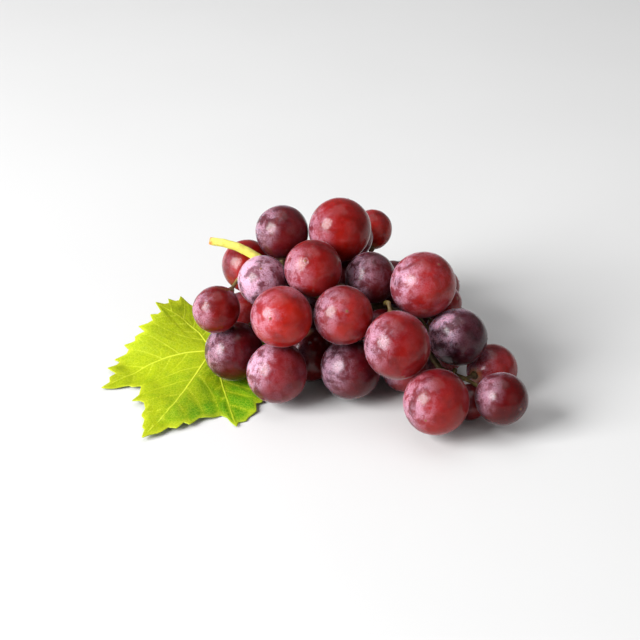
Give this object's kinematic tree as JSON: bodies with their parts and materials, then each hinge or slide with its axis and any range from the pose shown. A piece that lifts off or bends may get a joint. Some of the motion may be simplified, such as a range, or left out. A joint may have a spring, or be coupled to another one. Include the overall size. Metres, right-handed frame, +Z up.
{
  "type": "bunch of grapes",
  "caption": "Bunch of large round red table grapes with a waxy bloom on its branched green stem, laid on its side with a vine leaf tucked under it.",
  "frame": {"origin": "under the middle of the bounding box, on the surface that the bunch lies on", "axes": "+X from the cut stem towards the tip of the bunch, +Y to the back, +Z up from the surface"},
  "size_m": [0.1776, 0.1234, 0.0723],
  "materials": {
    "skin_scarlet": "bright red translucent grape skin, satin, with thin pale bloom",
    "skin_crimson": "deep red grape skin, glossy where the bloom is rubbed off",
    "skin_pink": "pink-red grape skin under an even pale bloom",
    "skin_lilac": "dusky purple grape skin under a thick lilac bloom",
    "skin_purple": "dark purple grape skin with patchy bloom",
    "stem": "fresh yellow-green stem, brown at the cut and at the joints",
    "leaf": "fresh bright green leaf blade with pale raised veins"
  },
  "bodies": {
    "root": {"grape_01": "skin_crimson", "grape_02": "skin_purple", "grape_03": "skin_lilac", "grape_04": "skin_crimson", "grape_05": "skin_purple", "grape_06": "skin_scarlet", "grape_07": "skin_lilac", "grape_08": "skin_crimson", "grape_09": "skin_crimson", "grape_10": "skin_crimson", "grape_11": "skin_purple", "grape_12": "skin_crimson", "grape_13": "skin_scarlet", "grape_14": "skin_crimson", "grape_15": "skin_scarlet", "grape_16": "skin_scarlet", "grape_17": "skin_crimson", "grape_18": "skin_purple", "grape_19": "skin_purple", "grape_20": "skin_crimson", "grape_21": "skin_lilac", "grape_22": "skin_purple", "grape_23": "skin_crimson", "grape_24": "skin_crimson", "grape_25": "skin_scarlet", "grape_26": "skin_purple", "grape_27": "skin_purple", "grape_28": "skin_pink", "grape_29": "skin_pink", "grape_30": "skin_crimson", "grape_31": "skin_purple", "grape_32": "skin_crimson", "grape_33": "skin_pink", "grape_34": "skin_scarlet", "grape_35": "skin_crimson", "grape_36": "skin_purple", "grape_37": "skin_lilac", "grape_38": "skin_lilac", "grape_39": "skin_purple", "grape_40": "skin_pink", "grape_41": "skin_crimson", "grape_42": "skin_crimson", "grape_43": "skin_pink", "grape_44": "skin_crimson", "stem": "stem", "leaf": "leaf"}
  },
  "joints": []
}
